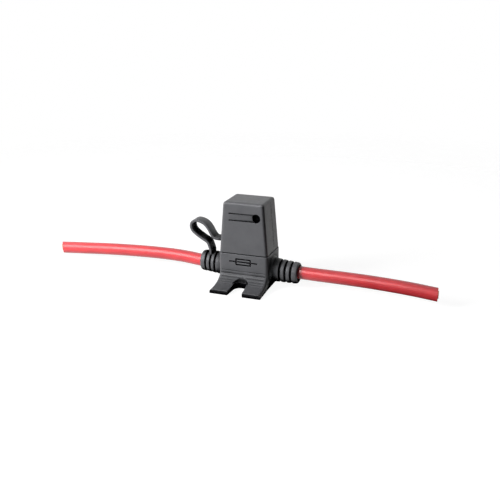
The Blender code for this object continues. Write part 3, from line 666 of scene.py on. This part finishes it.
# strap: one continuous piece from the boot's pad to the cap's tab
strapSet = {
    "width": 0.0091,
    "thickness": 0.002,
    "edgeRound": 0.0005,
    "route": [
        (-0.0296, 0.0190), (-0.0296, 0.0205), (-0.0296, 0.0221), (-0.0304, 0.0248),
        (-0.032, 0.0282), (-0.0362, 0.0307), (-0.0407, 0.0335), (-0.0439, 0.0363),
        (-0.045, 0.0394), (-0.0442, 0.0424), (-0.0412, 0.0441), (-0.0374, 0.0437),
        (-0.0338, 0.0419), (-0.031, 0.0387), (-0.0286, 0.0345), (-0.0264, 0.0321),
        (-0.0233, 0.0317), (-0.0212, 0.0317), (-0.0186, 0.0317),
    ],
    "heldBelow": 0.0222,
    "heldFrom": -0.0214,
    "lift": 0.045,
    "routeSteps": 6,
    "roundSteps": 4,
}


def strapProfile(values):
    # a flat rounded outline, as a closed flat curve
    halfWidth, halfThick, soft = values["width"] / 2, values["thickness"] / 2, values["edgeRound"]
    outline = []
    for cornerX, cornerY, start in ((1, 1, 0), (-1, 1, 90), (-1, -1, 180), (1, -1, 270)):
        for step in range(values["roundSteps"] + 1):
            angle = math.radians(start + 90 * step / values["roundSteps"])
            outline.append((
                cornerX * (halfThick - soft) + soft * math.cos(angle),
                cornerY * (halfWidth - soft) + soft * math.sin(angle),
            ))
    curve = bpy.data.curves.new("strapProfile", "CURVE")
    curve.dimensions = "2D"
    spline = curve.splines.new("POLY")
    spline.points.add(len(outline) - 1)
    for point, (x, y) in zip(spline.points, outline):
        point.co = (x, y, 0.0, 1.0)
    spline.use_cyclic_u = True
    profile = bpy.data.objects.new("strapProfile", curve)
    bpy.context.scene.collection.objects.link(profile)
    return profile


def makeStrap(values):
    points = smoothRoute([(x, 0.0, z) for x, z in values["route"]], values["routeSteps"])
    profile = strapProfile(values)
    curve = bpy.data.curves.new("tetherStrap", "CURVE")
    curve.dimensions = "3D"
    curve.twist_mode = "MINIMUM"
    curve.bevel_mode = "OBJECT"
    curve.bevel_object = profile
    curve.use_fill_caps = True
    spline = curve.splines.new("POLY")
    spline.points.add(len(points) - 1)
    for point, place in zip(spline.points, points):
        point.co = (*place, 1.0)
    strap = bpy.data.objects.new("tetherStrap", curve)
    bpy.context.scene.collection.objects.link(strap)
    makeActive(strap)
    bpy.ops.object.convert(target="MESH")
    strap = bpy.context.object
    bpy.data.objects.remove(profile, do_unlink=True)
    bpy.ops.object.mode_set(mode="EDIT")
    bpy.ops.mesh.select_all(action="SELECT")
    bpy.ops.mesh.remove_doubles(threshold=mergeWithin)
    bpy.ops.mesh.normals_make_consistent(inside=False)
    bpy.ops.object.mode_set(mode="OBJECT")
    bpy.ops.object.shade_smooth_by_angle(angle=math.radians(40))
    dress(strap, blackRubber)
    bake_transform(strap)
    unrollEvenly(points, values)
    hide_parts("tether_strap")


def unrollEvenly(points, values):
    # for each stretch of the strap, its share of turning upright as the cap lifts is worked out;
    # the shares are not used
    held = [i for i, p in enumerate(points) if p.x > values["heldFrom"]][0]
    first = [i for i, p in enumerate(points) if p.z > values["heldBelow"]][0]
    climb = sum(abs(b.z - a.z) for a, b in zip(points[first:held], points[first + 1:held + 1]))
    gain = (points[held].z + values["lift"] - points[first].z) / climb
    shares = [0.0] * len(points)
    height = points[first].z
    for i in range(first + 1, len(points)):
        if i <= held:
            height += gain * abs(points[i].z - points[i - 1].z)
            shares[i] = (height - points[i].z) / values["lift"]
        else:
            shares[i] = 1.0


makeStrap(strapSet)
print("strap made")


# floor, world and lights
studio = {
    "skyStrength": 0.04,
    "darkTowards": (0.94, -0.342, 0.0),
    "skyDarkFrom": 0.35,
    "skyDarkTo": 0.6,
    "cardInMirrors": 7.0,
    "cardTowards": (-0.5, -0.62, 0.6),
    "cardFrom": 0.9,
    "cardTo": 0.96,
    "floorColour": (0.25, 0.25, 0.25),
    "floorLift": 0.92,
    # painted shadow on the floor, seen only in mirrors
    "floorPaintedShadowFrom": 0.05,
    "floorPaintedShadowTo": 0.09,
    "floorPaintedShadowColour": (0.004, 0.004, 0.004),
    "floorFadeFrom": 0.3,
    "floorFadeTo": 0.7,
    "key": {"place": (-0.42, -0.36, 0.33), "size": (0.26, 0.26), "energy": 3.3},
    "fill": {"place": (-0.52, -0.48, 0.2), "size": (0.24, 0.3), "energy": 3.8},
    "lampsAimAt": (0.0, 0.0, 0.03),
    "floorAt": (0.0, 0.0, -0.0001),
    "floorSize": 3.0,
}


def setWorld(values):
    # plain white for the camera and clear pieces, and in mirrors too but for a dark card there
    world = bpy.data.worlds.new("studioWorld")
    bpy.context.scene.world = world
    world.use_nodes = True
    tree = world.node_tree
    sky = tree.nodes["Background"]
    sky.inputs["Color"].default_value = (1.0, 1.0, 1.0, 1.0)
    white = addNode(tree, "ShaderNodeBackground")
    white.inputs["Color"].default_value = (1.0, 1.0, 1.0, 1.0)
    white.inputs["Strength"].default_value = 1.0
    around = addNode(tree, "ShaderNodeTexCoord")
    towardsDark = addNode(tree, "ShaderNodeVectorMath", operation="DOT_PRODUCT")
    tree.links.new(around.outputs["Generated"], towardsDark.inputs[0])
    towardsDark.inputs[1].default_value = values["darkTowards"]
    pale = rangeOf(
        tree, towardsDark.outputs["Value"], values["skyDarkFrom"], values["skyDarkTo"], 1.0, 0.0
    )
    # a lit card up on the left, which mirrors show in place of the lamps
    aim = addNode(tree, "ShaderNodeVectorMath", operation="DOT_PRODUCT")
    tree.links.new(around.outputs["Generated"], aim.inputs[0])
    aim.inputs[1].default_value = values["cardTowards"]
    shine = rangeOf(
        tree, aim.outputs["Value"], values["cardFrom"], values["cardTo"],
        0.0, values["cardInMirrors"],
    )
    card = addNode(tree, "ShaderNodeMath", operation="ADD")
    tree.links.new(shine.outputs["Result"], card.inputs[0])
    tree.links.new(pale.outputs["Result"], card.inputs[1])
    path = addNode(tree, "ShaderNodeLightPath")
    strength = addNode(tree, "ShaderNodeMix", data_type="FLOAT")
    tree.links.new(path.outputs["Is Glossy Ray"], strength.inputs["Factor"])
    strength.inputs["A"].default_value = values["skyStrength"]
    tree.links.new(card.outputs[0], strength.inputs["B"])
    tree.links.new(strength.outputs["Result"], sky.inputs["Strength"])
    seen = addNode(tree, "ShaderNodeMath", operation="MAXIMUM")
    tree.links.new(path.outputs["Is Camera Ray"], seen.inputs[0])
    tree.links.new(path.outputs["Is Transmission Ray"], seen.inputs[1])
    mix = addNode(tree, "ShaderNodeMixShader")
    tree.links.new(seen.outputs[0], mix.inputs["Fac"])
    tree.links.new(sky.outputs[0], mix.inputs[1])
    tree.links.new(white.outputs[0], mix.inputs[2])
    tree.links.new(mix.outputs[0], tree.nodes["World Output"].inputs["Surface"])


def addFloor(values):
    # pale floor, seen as white but for its shadow, that fades out far from the object; in mirrors
    # it is painted near black towards the dark side, as a painted shadow
    deselectAll()
    bpy.ops.mesh.primitive_plane_add(size=values["floorSize"], location=values["floorAt"])
    floor = settle(bpy.context.object, "studioFloor")
    material, tree, shader = newMaterial("floorWhite")
    shader.inputs["Roughness"].default_value = 0.9
    shader.inputs["Specular IOR Level"].default_value = 0.2
    shader.inputs["Emission Color"].default_value = (1.0, 1.0, 1.0, 1.0)
    path = addNode(tree, "ShaderNodeLightPath")
    place = addNode(tree, "ShaderNodeTexCoord")
    towardsDark = addNode(tree, "ShaderNodeVectorMath", operation="DOT_PRODUCT")
    tree.links.new(place.outputs["Object"], towardsDark.inputs[0])
    towardsDark.inputs[1].default_value = values["darkTowards"]
    pale = rangeOf(
        tree, towardsDark.outputs["Value"], values["floorPaintedShadowFrom"], values["floorPaintedShadowTo"], 1.0, 0.0
    )
    # painted shadow: in mirrors the floor turns near black towards the dark side, where the
    # object's shadow would lie
    dark = addNode(tree, "ShaderNodeMath", operation="SUBTRACT")
    tree.links.new(path.outputs["Is Glossy Ray"], dark.inputs[0])
    tree.links.new(pale.outputs["Result"], dark.inputs[1])
    colour = addNode(tree, "ShaderNodeMix", data_type="RGBA")
    tree.links.new(dark.outputs[0], colour.inputs["Factor"])
    colour.inputs["A"].default_value = (*values["floorColour"], 1.0)
    colour.inputs["B"].default_value = (*values["floorPaintedShadowColour"], 1.0)
    tree.links.new(colour.outputs["Result"], shader.inputs["Base Color"])
    seen = addNode(tree, "ShaderNodeMath", operation="MULTIPLY")
    tree.links.new(pale.outputs["Result"], seen.inputs[0])
    tree.links.new(path.outputs["Is Glossy Ray"], seen.inputs[1])
    for ray in ("Is Camera Ray", "Is Transmission Ray"):
        either = addNode(tree, "ShaderNodeMath", operation="MAXIMUM")
        tree.links.new(seen.outputs[0], either.inputs[0])
        tree.links.new(path.outputs[ray], either.inputs[1])
        seen = either
    lift = rangeOf(tree, seen.outputs[0], 0.0, 1.0, 0.0, values["floorLift"])
    tree.links.new(lift.outputs["Result"], shader.inputs["Emission Strength"])
    away = addNode(tree, "ShaderNodeVectorMath", operation="LENGTH")
    tree.links.new(place.outputs["Object"], away.inputs[0])
    fade = rangeOf(
        tree, away.outputs["Value"], values["floorFadeFrom"], values["floorFadeTo"], 0.0, 1.0
    )
    clear = addNode(tree, "ShaderNodeBsdfTransparent")
    mix = addNode(tree, "ShaderNodeMixShader")
    tree.links.new(fade.outputs["Result"], mix.inputs["Fac"])
    tree.links.new(shader.outputs[0], mix.inputs[1])
    tree.links.new(clear.outputs[0], mix.inputs[2])
    tree.links.new(mix.outputs[0], tree.nodes["Material Output"].inputs["Surface"])
    floor.data.materials.append(material)


def addLight(name, values, aim):
    place = Vector(values["place"])
    deselectAll()
    bpy.ops.object.light_add(type="AREA", location=place)
    lamp = bpy.context.object
    lamp.name = name
    lamp.data.shape = "RECTANGLE"
    lamp.data.size, lamp.data.size_y = values["size"]
    lamp.data.energy = values["energy"]
    lamp.visible_glossy = False  # mirrors show the lit card instead
    lamp.rotation_euler = (Vector(aim) - place).to_track_quat("-Z", "Y").to_euler()


setWorld(studio)
addFloor(studio)
addLight("keyLight", studio["key"], studio["lampsAimAt"])
addLight("fillLight", studio["fill"], studio["lampsAimAt"])
print("studio made")

view = bpy.context.scene.view_settings
view.view_transform = "Standard"
